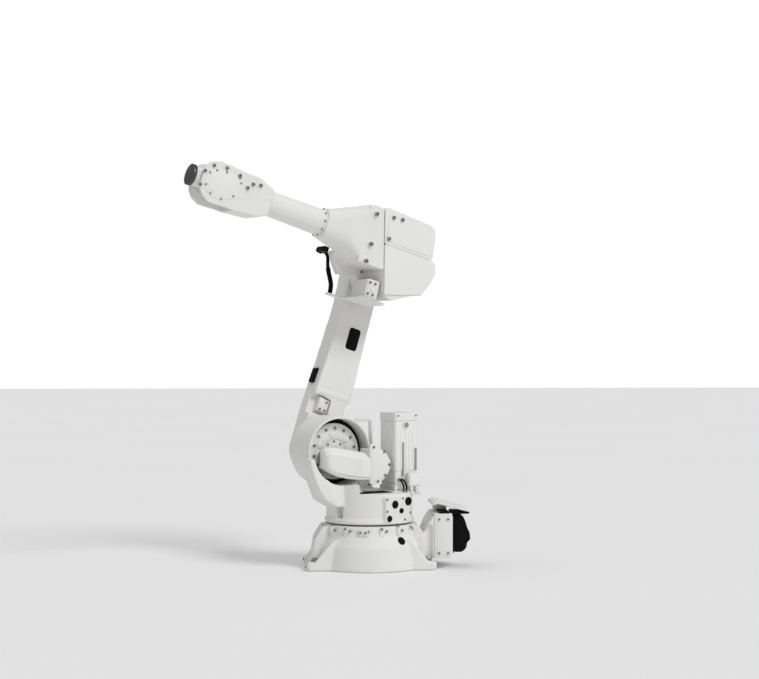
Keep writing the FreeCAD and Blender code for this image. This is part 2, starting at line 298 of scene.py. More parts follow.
class Wire:
    """An output of a node, so that shader maths reads as an expression."""

    def __init__(self, shader, socket):
        self.shader = shader
        self.socket = socket

    def maths(self, operation, first, second):
        return self.shader.node("ShaderNodeMath", {"operation": operation}, {0: first, 1: second})

    def __add__(self, other):
        return self.maths("ADD", self, other)

    def __radd__(self, other):
        return self.maths("ADD", other, self)

    def __sub__(self, other):
        return self.maths("SUBTRACT", self, other)

    def __rsub__(self, other):
        return self.maths("SUBTRACT", other, self)

    def __mul__(self, other):
        return self.maths("MULTIPLY", self, other)

    def __rmul__(self, other):
        return self.maths("MULTIPLY", other, self)


class Finish:
    """A material whose nodes are added one call at a time."""

    def __init__(self, name):
        self.material = bpy.data.materials.new(name)
        self.material.use_nodes = True
        self.tree = self.material.node_tree
        self.shader = self.tree.nodes["Principled BSDF"]

    def plug(self, target, value):
        if isinstance(value, Wire):
            self.tree.links.new(value.socket, target)
        else:
            target.default_value = value

    def node(self, kind, settings=None, inputs=None, output=0):
        """Adds a node: its settings first, then the values or links of its sockets."""
        added = self.tree.nodes.new(kind)
        for key, value in (settings or {}).items():
            if key == "stops":
                ramp = added.color_ramp.elements
                for element, (position, level) in zip(ramp, value):
                    element.position = position
                    element.color = (level, level, level, 1)
            else:
                setattr(added, key, value)
        for key, value in (inputs or {}).items():
            self.plug(added.inputs[key], value)
        return Wire(self, added.outputs[output])

    def mixed(self, factor, first, second):
        """Colour between two colours."""
        settings = {"data_type": "RGBA"}
        inputs = {0: factor, 6: first, 7: second}
        return self.node("ShaderNodeMix", settings, inputs, 2)

    def noise(self, where, scale, detail=2.0):
        return self.node("ShaderNodeTexNoise", None, {"Vector": where, "Scale": scale, "Detail": detail})

    def set(self, **values):
        """Sets the shader's own sockets, with spaces written as underscores."""
        for key, value in values.items():
            self.plug(self.shader.inputs[key.replace("_", " ")], value)


def shade(colour, factor):
    return (colour[0] * factor, colour[1] * factor, colour[2] * factor, 1)


def painted(name, colour, rough, grain_size, grain_height, coat):
    """Paint or moulding: faint clouds, a fine skin texture and painted shade that darkens creases and recesses.
    """
    finish = Finish(name)
    where = finish.node("ShaderNodeTexCoord", output="Object")
    clouds = finish.noise(where, 5.0, 4.0)
    grain = finish.noise(where, grain_size, 2.0)
    waves = finish.noise(where, 28.0, 2.0)
    edges = finish.node("ShaderNodeNewGeometry", output="Pointiness")
    # Painted shade: creases and recesses, found by low pointiness, are darkened towards 0.55 of the colour.
    painted_hollow_shade = finish.node("ShaderNodeValToRGB", {"stops": [(0.40, 1.0), (0.49, 0.0)]}, {0: edges})
    tone = finish.mixed(clouds, shade(colour, 0.955), shade(colour, 1.03))
    tone = finish.mixed(painted_hollow_shade * 0.35, tone, shade(colour, 0.55))
    relief = grain * 0.75 + waves * 0.6
    bump = finish.node("ShaderNodeBump", None, {"Strength": 0.55, "Distance": grain_height, "Height": relief})
    finish.set(Base_Color=tone, Roughness=(clouds - 0.5) * 0.16 + (grain - 0.5) * 0.12 + rough, Normal=bump)
    finish.set(Coat_Weight=coat, Coat_Roughness=0.3, Specular_IOR_Level=0.35)
    return finish.material


def moulded_black(name, colour, rough, grain_height):
    """Black plastic or rubber with dust in its texture."""
    finish = Finish(name)
    where = finish.node("ShaderNodeTexCoord", output="Object")
    grain = finish.noise(where, 900.0, 2.0)
    dust = finish.noise(where, 60.0, 5.0)
    veil = finish.node("ShaderNodeValToRGB", {"stops": [(0.45, 0.0), (0.8, 1.0)]}, {0: dust})
    tone = finish.mixed(veil * 0.3, shade(colour, 1), (0.02, 0.02, 0.0195, 1))
    bump = finish.node("ShaderNodeBump", None, {"Strength": 0.5, "Distance": grain_height, "Height": grain})
    finish.set(Base_Color=tone, Roughness=veil * 0.15 + rough, Normal=bump)
    finish.set(Specular_IOR_Level=0.05)
    return finish.material


def steel(name, colour, rough, scratches):
    """Machined steel with fine turning marks and a little staining."""
    finish = Finish(name)
    where = finish.node("ShaderNodeTexCoord", output="Object")
    stretched = finish.node("ShaderNodeMapping", None, {"Vector": where, "Scale": (900, 120, 900)})
    marks = finish.noise(stretched, 1.0, 3.0)
    stain = finish.noise(where, 45.0, 4.0)
    tone = finish.mixed(stain, shade(colour, 0.7), shade(colour, 1.15))
    bump = finish.node("ShaderNodeBump", None, {"Strength": 0.4, "Distance": scratches, "Height": marks})
    finish.set(Base_Color=tone, Metallic=0.9, Roughness=(stain - 0.5) * 0.25 + rough, Normal=bump)
    return finish.material


def floor_finish():
    """Plain pale studio floor."""
    finish = Finish("studio_floor")
    where = finish.node("ShaderNodeTexCoord", output="Object")
    clouds = finish.noise(where, 0.6, 3.0)
    tone = finish.mixed(clouds, (0.9, 0.9, 0.9, 1), (0.93, 0.93, 0.93, 1))
    finish.set(Base_Color=tone, Roughness=0.75)
    return finish.material


def material(slot):
    """The material of a finish, made on first use and named apart from the frame's own."""
    name = "arm_" + slot
    if name in bpy.data.materials:
        return bpy.data.materials[name]
    colours = bpy.context.scene.arm_colours
    makers = {
        "light_paint": lambda: painted(name, colours.paint, 0.62, 620.0, 0.00022, 0.0),
        "cover_plastic": lambda: painted(name, colours.cover, 0.52, 1500.0, 0.00008, 0.05),
        "dark_paint": lambda: painted(name, colours.drive, 0.5, 500.0, 0.0002, 0.0),
        "black_plastic": lambda: moulded_black(name, colours.plastic, 0.42, 0.00008),
        "black_rubber": lambda: moulded_black(name, colours.rubber, 0.6, 0.00012),
        "dark_steel": lambda: steel(name, colours.dark_steel, 0.42, 0.00003),
        "zinc_screws": lambda: steel(name, colours.screws, 0.38, 0.00002),
    }
    return makers[slot]()


# ---------------------------------------------------------------- screws, placed by geometry nodes

def screw_head(name, outer, socket):
    """Unit head of radius 1 along z; outer and socket say where a ring is six-sided."""
    def ring(radius, height, six_sided):
        points = []
        for step in range(12):
            angle = math.pi * step / 6
            flat = math.cos(math.pi / 6) if six_sided and step % 2 else 1.0
            points.append((radius * flat * math.cos(angle), radius * flat * math.sin(angle), height))
        return points
    rings = [ring(1.0, -0.25, outer), ring(1.0, 0.75, outer), ring(0.86, 0.9, False)]
    if socket:
        rings += [ring(0.5, 0.9, True), ring(0.46, 0.3, True)]
    else:
        rings = [ring(1.35, -0.25, False), ring(1.35, 0.12, False), ring(1.0, 0.12, True)] + rings[1:]
    return drawn(name, [loft(rings)])


def screw_tree():
    """Tree that stands a screw on every point, along its facing, turned at random, and at its size."""
    tree = bpy.data.node_groups.new("screws_on_points", "GeometryNodeTree")
    for name, kind in (("Points", "NodeSocketGeometry"), ("Screw", "NodeSocketObject"),
                       ("Size factor", "NodeSocketFloat"), ("Seed", "NodeSocketInt"),
                       ("Finish", "NodeSocketMaterial")):
        tree.interface.new_socket(name, in_out="INPUT", socket_type=kind)
    tree.interface.new_socket("Screws", in_out="OUTPUT", socket_type="NodeSocketGeometry")

    def add(kind, settings=None, **links):
        node = tree.nodes.new(kind)
        for key, value in (settings or {}).items():
            setattr(node, key, value)
        for key, value in links.items():
            target = node.inputs[key.replace("_", " ")]
            if isinstance(value, bpy.types.NodeSocket):
                tree.links.new(value, target)
            else:
                target.default_value = value
        return node

    source = add("NodeGroupInput").outputs
    facing = add("GeometryNodeInputNamedAttribute", {"data_type": "FLOAT_VECTOR"}, Name="facing")
    size = add("GeometryNodeInputNamedAttribute", {"data_type": "FLOAT"}, Name="size")
    scaled = add("ShaderNodeMath", {"operation": "MULTIPLY"})
    tree.links.new(size.outputs[0], scaled.inputs[0])
    tree.links.new(source["Size factor"], scaled.inputs[1])
    upright = add("FunctionNodeAlignRotationToVector", {"axis": "Z"}, Vector=facing.outputs[0])
    chance = add("FunctionNodeRandomValue", {"data_type": "FLOAT"}, Seed=source["Seed"])
    chance.inputs[3].default_value = 2 * math.pi
    angles = add("ShaderNodeCombineXYZ", Z=chance.outputs[1])
    spin = add("FunctionNodeEulerToRotation", Euler=angles.outputs[0])
    turn = add("FunctionNodeRotateRotation", {"rotation_space": "LOCAL"}, Rotation=upright.outputs[0],
               Rotate_By=spin.outputs[0])
    screw = add("GeometryNodeObjectInfo", Object=source["Screw"])
    placed = add("GeometryNodeInstanceOnPoints", Points=source["Points"], Instance=screw.outputs["Geometry"],
                 Rotation=turn.outputs[0], Scale=scaled.outputs[0])
    real = add("GeometryNodeRealizeInstances", Geometry=placed.outputs[0])
    coloured = add("GeometryNodeSetMaterial", Geometry=real.outputs[0], Material=source["Finish"])
    out = add("NodeGroupOutput")
    tree.links.new(coloured.outputs[0], out.inputs[0])
    return tree


def ring_points(at, along, radius, count, first=0.0, lift=0.0):
    """Places round a circle, all facing along its axis."""
    place = Matrix.Translation(at) @ axes_to(along)
    points = []
    for step in range(count):
        angle = math.radians(first) + 2 * math.pi * step / count
        spot = place @ Vector((radius * math.cos(angle), radius * math.sin(angle), lift))
        points.append((tuple(spot), along))
    return points


def side_points(spots, y, side=1):
    """Places at (x, z) on a face across y."""
    return [((x, y, z), (0, side, 0)) for x, z in spots]


def screws(name, body, spots, screw, tree, finish, seed):
    """One piece of screws for a body, from (size, places) pairs."""
    places = [(size, at, facing) for size, group in spots for at, facing in group]
    mesh = bpy.data.meshes.new(name)
    mesh.from_pydata([at for _, at, _ in places], [], [])
    facing = mesh.attributes.new("facing", "FLOAT_VECTOR", "POINT")
    facing.data.foreach_set("vector", [number for place in places for number in place[2]])
    size = mesh.attributes.new("size", "FLOAT", "POINT")
    size.data.foreach_set("value", [place[0] for place in places])
    piece = in_scene(name, mesh)
    nodes = piece.modifiers.new("Screws", "NODES")
    nodes.node_group = tree
    keys = {item.name: item.identifier for item in tree.interface.items_tree if item.in_out == "INPUT"}
    nodes[keys["Screw"]] = screw
    nodes[keys["Size factor"]] = bpy.context.scene.arm_sizes.screw_factor
    nodes[keys["Seed"]] = seed
    nodes[keys["Finish"]] = material(finish)
    fitted(piece, body, finish, sharp=25)


# ---------------------------------------------------------------- base

def base_bosses():
    """Cast bosses at the outer feet."""
    shapes = []
    for side in (-1, 1):
        for end in (-1, 1):
            shapes.append(disc(11, -8, 7, (end * 240, side * JACK_Y, JACK_HEIGHT), (end, 0, 0), sides=20))
            shapes.append(disc(20, 22, 33, (end * ANCHOR_X, side * ANCHOR_Y, 0), (0, 0, 1), sides=28))
    return shapes


def neck_angle(step):
    """Where a lug stands round the neck of the base."""
    return math.radians(11 + 360 / NECK_PLACES * step)


def ring_lugs():
    """Screw lugs and clamp blocks round the neck of the base, under the turntable."""
    shapes = []
    for step in range(NECK_PLACES):
        turn = Matrix.Rotation(neck_angle(step), 4, "Z")
        if step % 4 == 3:
            shapes.append(moved(block((168, 184), (-17, 17), (134, 161)), turn))
        elif step % 2:
            post = turned([(0, 132), (9, 132), (8, 165), (0, 165)], (NECK_RADIUS, 0, 0), sides=20)
            shapes.append(moved(post, turn))
        else:
            shapes.append(moved(block((168, 181), (-8, 8), (132, 153)), turn))
            boss = turned([(0, -6), (7, -6), (7, 3), (0, 3)], (NECK_RADIUS, 0, 160), (1, 0, 0), 18)
            shapes.append(moved(boss, turn))
    return shapes


def make_base():
    cast("base_body", "base", "base_casting", base_bosses())
    machined("base_ring_lugs", "base", ring_lugs(), 1.5)
    # Painted shadow: a black strip fills the gap under the near edge of the rear lid, where there is only
    # shade.
    machined("lid_seal", "base", [block((-300, -262), (-88, 88), (206, 215))], 1.5, "black_plastic")
    finished_node("rear_box", "base", 7.0, added=rear_box_details())
    finished_node("rear_lid", "base", 3.0)
    plug_at = frame_centre("base_plug")
    outward = Vector((plug_at.x, plug_at.y, 0)).normalized()
    slope = (outward * 46 + Vector((0, 0, 28))).normalized()
    redrawn("base_plug", "base", [plug(16, plug_at * 1000 - slope * 2, slope)], 0.8, "black_plastic")


def frame_centre(node):
    low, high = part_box(node)
    return (low + high) / 2


def plug(radius, at, along):
    """Pushed-in round plug with a rim and a dished middle."""
    profile = [(0, -3), (radius, -3), (radius, 2.6), (radius - 2, 3.4), (radius - 4, 3.4),
               (radius - 5.5, 1.4), (radius * 0.3, 1.0), (0, 1.0)]
    return turned(profile, at, along, 36)


def rear_box_details():
    """Cover strips and the raised frame on the back of the rear box."""
    shapes = [block((-311, -308), (-96, 96), (50, 198))]
    for side in (-1, 1):
        strip = soft([(-300, 52), (-300, 196), (-250, 196), (-250, 52)], 8)
        shapes.append(slab(strip, side * 104, side * 106))
    return shapes


def connector_shapes():
    """Two hooded connectors with latches on a black frame."""
    shapes = [slab(soft([(-318, 58), (-318, 210), (-309.5, 210), (-309.5, 58)], 3), -24, 84),
              slab(soft([(-376, 207), (-376, 213), (-310, 216), (-310, 204)], 2), -26, 86)]
    hood = soft([(-317, 60), (-317, 202), (-350, 202), (-362, 178), (-370, 150), (-379, 134), (-381, 106),
                 (-369, 98), (-366, 76), (-350, 60)], 9)
    for low in (-17, 34):
        shapes.append(slab(hood, low, low + 43))
        latch = soft([(-322, 120), (-322, 160), (-352, 156), (-352, 124)], 6)
        shapes.append(slab(latch, low - 2.4, low + 45.4))
        for height in (92, 184):
            pin = [(0, 0), (5, 0), (5, 48), (0, 48)]
            shapes.append(turned(pin, (-328, low - 2.5, height), SIDEWAYS, 20))
    for height in range(104, 176, 8):
        shapes.append(block((-364, -346), (-12, 21), (height, height + 3)))
    return shapes


def signal_connector_shapes():
    """Round screw connector with a knurled ring."""
    profile = [(0, 0), (28, 0), (28, 4), (22, 5), (22, 12), (24, 13), (24, 31), (22, 32), (19, 33), (19, 41),
               (16, 42.5), (14, 42.5), (13, 30), (0, 30)]
    shapes = [turned(profile, (-309.5, -60, 120), (-1, 0, 0), 40)]
    for step in range(20):
        angle = 2 * math.pi * step / 20
        at = (-324, -60 + 23.4 * math.cos(angle), 120 + 23.4 * math.sin(angle))
        shapes.append(turned([(0, 0), (1.8, 0), (1.8, 15), (0, 15)], at, (-1, 0, 0), 8))
    return shapes


def make_connectors():
    machined("connector_hoods", "base", connector_shapes(), 2.0, "black_plastic", ("connector_block",))
    redrawn("signal_connector", "base", signal_connector_shapes(), 0.7, "black_plastic")


# ---------------------------------------------------------------- turntable

def turntable_details():
    """Rim of the shoulder recess, pads and ribs of the turntable casting."""
    x, z = AXIS_2
    rim = turned([(124.5, -6), (134, -6), (134, 3), (131, 5), (127, 5), (124.5, 3), (124.5, -6)],
                 (x, 35, z), SIDEWAYS, 96)
    shapes = [rim]
    shapes.append(block((-158, -36), (-6, 126), (DRUM_TOP - 10, DRUM_TOP + 7)))
    shapes.append(slab(soft([(176, 262), (206, 262), (240, 330), (240, 352), (214, 340)], 8), 60, 73))
    shapes.append(block((-76, 16), (-112, -88), (DRUM_TOP - 10, DRUM_TOP + 6)))
    for azimuth in (200, 230, 262, 300):
        turn = Matrix.Rotation(math.radians(azimuth), 4, "Z")
        shapes.append(moved(block((DRUM_RADIUS - 6, DRUM_RADIUS + 5), (-7, 7), (192, 280)), turn))
    return shapes


def hub_shapes():
    """Face of the axis 2 gear: stepped disc with a raised ring and a middle boss."""
    x, z = AXIS_2
    profile = [(0, -38), (107, -38), (107, -10), (104, -7), (98, -7), (95, -10), (82, -10), (79, -6), (50, -6),
               (47, -9), (30, -9), (27, -5), (0, -5)]
    shapes = [turned(profile, (x, 0, z), SIDEWAYS, 96)]
    for step in range(6):
        angle = math.radians(20 + 60 * step)
        at = (x + 66 * math.cos(angle), 0, z + 66 * math.sin(angle))
        shapes.append(disc(11, -12, -3, at, SIDEWAYS, 1.5, 24))
    return shapes


def between(stations, x):
    """Value at x on a chain of (x, value) stations."""
    for (x0, low), (x1, high) in zip(stations, stations[1:]):
        if x <= x1:
            return low + (high - low) * max(0.0, x - x0) / (x1 - x0)
    return stations[-1][1]


COVER_TOP = [(62, 441), (200, 465), (226, 462), (236, 452)]
COVER_FLOOR = [(62, 338), (96, 339), (140, 345), (178, 353), (210, 369), (236, 389)]
COVER_FACE = [(62, 117.5), (98, 116), (102, 113), (214, 78), (228, 66), (236, 46)]


def cover_section(x):
    """Section of the axis 2 cover: flat back, sloping top shoulder and a turned-in lower edge."""
    top = between(COVER_TOP, x)
    low = between(COVER_FLOOR, x)
    face = between(COVER_FACE, x)
    shoulder = face - (face - 36) * 0.42
    return [(x, 36, low + 4), (x, 36, top), (x, shoulder, top), (x, face - 4, top - 21),
            (x, face, top - 27), (x, face - 3, low + 16), (x, face - 12, low + 3), (x, face - 22, low)]


def motor_cover_shapes():
    """Long moulded cover of the axis 2 motor, with a sloping shoulder, a bent face and a lower lip."""
    shapes = [loft([cover_section(x) for x in (62, 97, 103, 140, 178, 200, 214, 226, 233, 236)])]
    for height, out in ((18, 1.2), (9, -2.5)):
        lip = []
        for x in (64, 96, 118, 140, 160, 178):
            low = between(COVER_FLOOR, x) + height
            face = between(COVER_FACE, x) + out
            lip.append([(x, face - 12, low - 3.5), (x, face, low - 2.5), (x, face, low + 1),
                        (x, face - 12, low + 3)])
        shapes.append(loft(lip))
    return shapes


def bridge_shapes():
    """Rounded end plate that carries the cover, with a raised rim."""
    outline = soft([(61.5, 480), (20, 462), (-12, 438), (-30, 410), (-26, 372), (0, 340), (36, 322),
                    (61.5, 322)], 16)
    inner = soft([(58, 462), (22, 448), (-2, 428), (-16, 406), (-13, 376), (6, 352), (38, 336),
                  (58, 336)], 14)
    return [slab(outline, 98, 112), slab(inner, 104, 114)]


def make_turntable():
    cast("turntable_body", "turntable", "turntable_casting", turntable_details())
    x, z = AXIS_2
    # Painted shadow: a black ring fills the gap round the axis 2 hub, where the recess lies in shade.
    section = [(106.8, -39.5), (125.6, -39.5), (125.6, -30), (121, -27), (111, -27), (106.8, -30),
               (106.8, -39.5)]
    gap = turned(section, (x, 0, z), SIDEWAYS, 96)
    machined("recess_seal", "turntable", [gap], 1.0, "black_plastic")
    # Painted shadow: a thin black sheet on the drum top under the cover and bridge, where the top lies in
    # shade.
    shade_sheet_shapes = [block((-34, 110), (38, 112), (DRUM_TOP - 2, DRUM_TOP + 2.5))]
    machined("turntable_rubber_mat", "turntable", shade_sheet_shapes, 1.0, "black_rubber")
    machined("axis_2_hub_face", "turntable", hub_shapes(), 1.0, "light_paint", ("axis_2_hub",))
    finished_node("axis_2_motor", "turntable", 3.0, "dark_paint")
    machined("axis_2_cover", "turntable", motor_cover_shapes(), 6.0, "cover_plastic",
             ("axis_2_motor_cover",), 5)
    machined("axis_2_bridge_plate", "turntable", bridge_shapes(), 3.0, "light_paint",
             ("axis_2_bridge",), 4)
    finished_node("bridge_bracket", "turntable", 3.0)
    finished_node("lifting_lug", "turntable", 3.0)
    for number in range(1, 5):
        node = "drum_plug_%d" % number
        centre = LINKS["turntable"].inverted() @ frame_centre(node)
        turn = math.radians(PAD_AZIMUTH)
        outward = Vector((math.cos(turn), math.sin(turn), 0))
        low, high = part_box(node)
        radius = (high.z - low.z) * 500
        redrawn(node, "turntable", [plug(radius, centre - outward * 1.5, outward)], 0.8, "black_plastic")


def motor_1_shapes():
    """Upright motor: a body with flutes, a cap, a foot flange and a round boss near the top."""
    def layer(inset, low, high, corner=12):
        x = (-150 + inset, -43 - inset)
        y = (inset, 120 - inset)
        plan = soft([(x[0], y[0]), (x[1], y[0]), (x[1], y[1]), (x[0], y[1])], corner)
        return loft([[(px, py, height) for px, py in plan] for height in (low, high)])
    shapes = [layer(0, DRUM_TOP, 314, 10), layer(5, 312, 372), layer(2, 370, 560), layer(0, 560, 591, 14),
              layer(4, 548, 562)]
    for x in (-128, -112, -96, -76):
        shapes.append(block((x, x + 7), (112, 120), (376, 520)))
        shapes.append(block((x, x + 7), (0, 8), (376, 540)))
    for y in (18, 38, 58, 78, 98):
        shapes.append(block((-150, -142), (y, y + 7), (376, 540)))
        shapes.append(block((-51, -43), (y, y + 7), (400, 520)))
    shapes.append(disc(15, -4, 6, (MOTOR_BOSS[0], 118, MOTOR_BOSS[1]), SIDEWAYS, 3, 32))
    return shapes


def motor_1_dark_parts():
    """Slots drawn as dark strips that paint the shade in the grooves, plug and lead outlets on the near face of
    the upright motor.
    """
    shapes = [disc(10, 2, 8, (MOTOR_BOSS[0], 118, MOTOR_BOSS[1]), SIDEWAYS, 2, 28)]
    # Painted shade: two dark strips stand in for the shaded grooves of the motor's near face.
    shapes.append(slab(soft([(-83, 350), (-75, 350), (-75, 478), (-83, 478)], 3), 116, 120.8))
    shapes.append(slab(soft([(-140, 372), (-131, 372), (-131, 456), (-140, 456)], 3), 116, 120.8))
    for x in LEAD_PLACES:
        shapes.append(disc(5.5, 0, 9, (x, 116, 338), SIDEWAYS, 1, 20))
        shapes.append(disc(6, 0, 8, (x - 14, 130, DRUM_TOP - 1), (0, 0, 1), 1, 20))
    return shapes


def make_motor_leads():
    """Two short leads from the motor down into the turntable, held at both ends."""
    for number, x in enumerate(LEAD_PLACES, 1):
        route = [(x, 118, 338), (x, 129, 338), (x - 3, 138, 328), (x - 11, 138, 308), (x - 14, 130, 299),
                 (x - 14, 130, DRUM_TOP)]
        tube(route, lambda _part, _step: LEAD_RADIUS, "motor_lead_%d" % number, "turntable")


def terminal_shapes():
    """Terminal box with two glands that point down at the drum."""
    shapes = [block((-149, -93), (119, 138), (DRUM_TOP + 22, 362)),
              block((-146, -96), (137, 142), (DRUM_TOP + 26, 358))]
    for x in (-134, -110):
        profile = [(0, 0), (7, 0), (7, 6), (9, 7), (9, 14), (6, 15), (5, 24), (0, 24)]
        shapes.append(turned(profile, (x, 129, DRUM_TOP + 24), (0, 0, -1), 24))
    return shapes


def make_axis_1_motor():
    redrawn("axis_1_motor", "turntable", motor_1_shapes(), 2.2, "cover_plastic")
    machined("axis_1_motor_dark_parts", "turntable", motor_1_dark_parts(), 0.6, "dark_paint")
    make_motor_leads()
    machined("axis_1_terminals", "turntable", terminal_shapes(), 2.0, "cover_plastic",
             ("axis_1_terminal_box",))


# ---------------------------------------------------------------- lower arm

def framed_plug(outline, y, along):
    """Black cover plate with a raised rim and a pillow middle."""
    def shrunk(factor):
        middle = [sum(values) / len(outline) for values in zip(*outline)]
        return [(middle[0] + (a - middle[0]) * factor, middle[1] + (b - middle[1]) * factor)
                for a, b in outline]
    shapes = [slab(soft(outline, 12), y, y + along * 3), slab(soft(shrunk(0.84), 10), y, y + along * 5.5)]
    shapes.append(slab(soft(shrunk(0.5), 8), y, y + along * 7.5))
    return shapes


def make_lower_arm():
    ribs = [slab(soft([(-52, 212), (-60, 226), (72, 226), (74, 212)], 5), ARM_NEAR - 4, ARM_NEAR + 2.5)]
    ribs.append(turned([(77, -4), (89, -4), (89, 2.5), (77, 2.5), (77, -4)], (0, ARM_NEAR, 0), SIDEWAYS, 72))
    cast("lower_arm_body", "lower_arm", "lower_arm_casting", ribs, voxel=3.6)
    finished_node("stop_block", "lower_arm", 4.0)
    outline = [(-37, 408), (13, 408), (13, 494), (-37, 494)]
    redrawn("arm_side_plug", "lower_arm", framed_plug(outline, ARM_NEAR - 1, 1), 1.2, "black_plastic")
    finished_node("arm_front_plug", "lower_arm", 2.5, "black_plastic")
    for node, height, radius in (("arm_lower_cover", 0, 70), ("arm_upper_cover", ELBOW, 60)):
        profile = [(0, -4), (radius, -4), (radius, 3), (radius - 3, 6), (radius * 0.62, 6),
                   (radius * 0.56, 3.5), (radius * 0.3, 3.5), (radius * 0.26, 5), (0, 5)]
        redrawn(node, "lower_arm", [turned(profile, (0, ARM_FAR, height), (0, -1, 0), 64)], 1.0)


# ---------------------------------------------------------------- upper arm

EYES = [(142, 201), (26, 216), (135, 84), (138, 16)]


def rounded_section(x, half, low, high, radius):
    """Rounded rectangle across x, of the same number of corners for any size."""
    outline = soft([(-half, low), (half, low), (half, high), (-half, high)], radius, 8)
    return [(x, y, z) for y, z in outline]


def elbow_details():
    """Ribs, top plate and screw lugs of the elbow casting."""
    shapes = [slab(soft([(60, 225), (60, 238), (140, 240), (168, 232), (168, 222)], 5), -70, 70)]
    stations = ((138, 83.5, 10, 234, 22), (172, 82.5, 17, 230, 40), (208, 76.5, 36, 213, 56),
                (250, 68.5, 52, 197, 66))
    shapes.append(loft([rounded_section(*station) for station in stations]))
    for x, z in EYES:
        if x > 60:
            shapes.append(disc(13, -6, 7, (x, 84, z), SIDEWAYS, 2, 28))
    far_lug = soft([(122, 44), (168, 50), (208, 36), (186, 0), (158, -30), (126, -18)], 6)
    shapes.append(slab(far_lug, -89.5, -70))
    return shapes


def rear_cover_shapes():
    """Large moulded cover at the back of the elbow, with a horizontal joint and a pan under it."""
    upper = soft([(108, 236), (96, 242), (-103, 236), (-130, 226), (-139, 177), (-147, 106.6),
                  (73.6, 106.6)], 10)
    lower = soft([(73, 105.4), (-148, 105.4), (-166, 96), (-174, 58), (-160, 12), (-136, -32), (-96, -46),
                  (20, -80), (24, -76)], 9)
    pan = soft([(20, -83), (-20, -92), (-96, -50), (-138, -36), (-150, -8), (-140, -24), (-90, -44),
                (20, -78)], 3)
    shapes = []
    for outline, half in ((upper, 87), (lower, 87), (pan, 80)):
        shapes.append(slab(outline, -half, half))
    shapes.append(slab(soft([(84, 224), (-98, 222), (-122, 212), (-136, 118), (66, 118)], 14), -89, 89))
    return shapes


def bracket_shapes():
    """Folded bracket under the elbow: two thin plates and their spacers."""
    shapes = [slab(soft([(0, -118), (0, -115), (118, -115), (118, -118)], 1), -84, 70),
              slab(soft([(4, -112.5), (4, -110), (112, -110), (112, -112.5)], 1), -80, 66)]
    shapes.append(slab([(100, -118), (100, -112), (168, -112), (168, -118)], -112, -84))
    for x in (14, 58, 104):
        for y in (-60, 50):
            shapes.append(turned([(0, -1), (6, -1), (6, 6), (0, 6)], (x, y, -116.5), (0, 0, 1), 20))
    return shapes


def gland_shapes():
    """Black elbow fitting that the hose comes out of, and the stub that holds it."""
    at = (250, -98, 36)
    nut = [(0, -4), (11, -4), (11, 6), (12.5, 7), (12.5, 16), (9, 18), (0, 18)]
    cap = [(0, 0), (11, 0), (11, 4), (0, 4)]
    return [turned(nut, at, (-1, 0, 0), 24), block((234, 254), (-97, -42), (27, 47)),
            turned(cap, at, (1, 0, 0), 24)]


def make_elbow():
    cast("elbow_body", "upper_arm", "elbow_casting", elbow_details())
    redrawn("rear_cover", "upper_arm", rear_cover_shapes(), 9.0, "cover_plastic", 5)
    redrawn("bottom_bracket", "upper_arm", bracket_shapes(), 0.8)
    drive = [cad_shape("axis_3_motor", "upper_arm")]
    drive.append(slab(soft([(44, -102), (44, -42), (86, -42), (86, -102)], 6), 58, 63))
    drive.append(disc(12, 60, 67, (65, 0, -72), SIDEWAYS, 2, 28))
    redrawn("axis_3_motor", "upper_arm", drive, 2.5)
    redrawn("hose_gland", "upper_arm", gland_shapes(), 1.5, "black_plastic")


def smooth_line(route):
    """Points of a smooth line that follows a route, in the link's millimetres."""
    curve = bpy.data.curves.new("smooth_line", "CURVE")
    curve.dimensions = "3D"
    curve.resolution_u = 12
    spline = curve.splines.new("NURBS")
    spline.points.add(len(route) - 1)
    for point, place in zip(spline.points, route):
        point.co = (*place, 1)
    spline.order_u = 3
    spline.use_endpoint_u = True
    holder = in_scene("smooth_line", curve)
    mesh = evaluated_mesh(holder)
    points = [vertex.co.copy() for vertex in mesh.vertices]
    bpy.data.objects.remove(holder)
    bpy.data.meshes.remove(mesh)
    return points


def evenly(points, step):
    """Points every step along a line, with their directions, as parts of its length."""
    lengths = [0.0]
    for before, after in zip(points, points[1:]):
        lengths.append(lengths[-1] + (after - before).length)
    count = int(lengths[-1] / step)
    spots = []
    index = 0
    for number in range(count + 1):
        reach = lengths[-1] * number / count
        while index < len(points) - 2 and lengths[index + 1] < reach:
            index += 1
        share = (reach - lengths[index]) / (lengths[index + 1] - lengths[index])
        direction = (points[index + 1] - points[index]).normalized()
        spots.append((points[index].lerp(points[index + 1], share), direction, number / count))
    return spots


def tube(route, radius, name, body, replaced=(), sides=20):
    """Black tube along a route; radius is a function of the part of its length and the step."""
    sections = []
    across = Vector((1, 0, 0))
    for number, (place, direction, part) in enumerate(evenly(smooth_line(route), 1.4)):
        across = (across - across.dot(direction) * direction).normalized()
        other = direction.cross(across)
        reach = radius(part, number)
        sections.append([tuple(place + reach * (math.cos(2 * math.pi * step / sides) * across
                                                + math.sin(2 * math.pi * step / sides) * other))
                         for step in range(sides)])
    piece = drawn(name, [loft(sections)])
    fitted(piece, body, "black_rubber", replaced, sharp=60)


def hose_radius(part, step):
    """Corrugated in its upper half, and thicker in its lower half where a sleeve covers it."""
    if 0.04 < part < 0.44:
        return 6.6 + 0.7 * math.sin(step * math.pi / 2)
    return 8.9


def make_hose():
    tube(HOSE_ROUTE, hose_radius, "elbow_hose_finish", "upper_arm", ("elbow_hose",))


# ---------------------------------------------------------------- forearm, wrist and tool flange

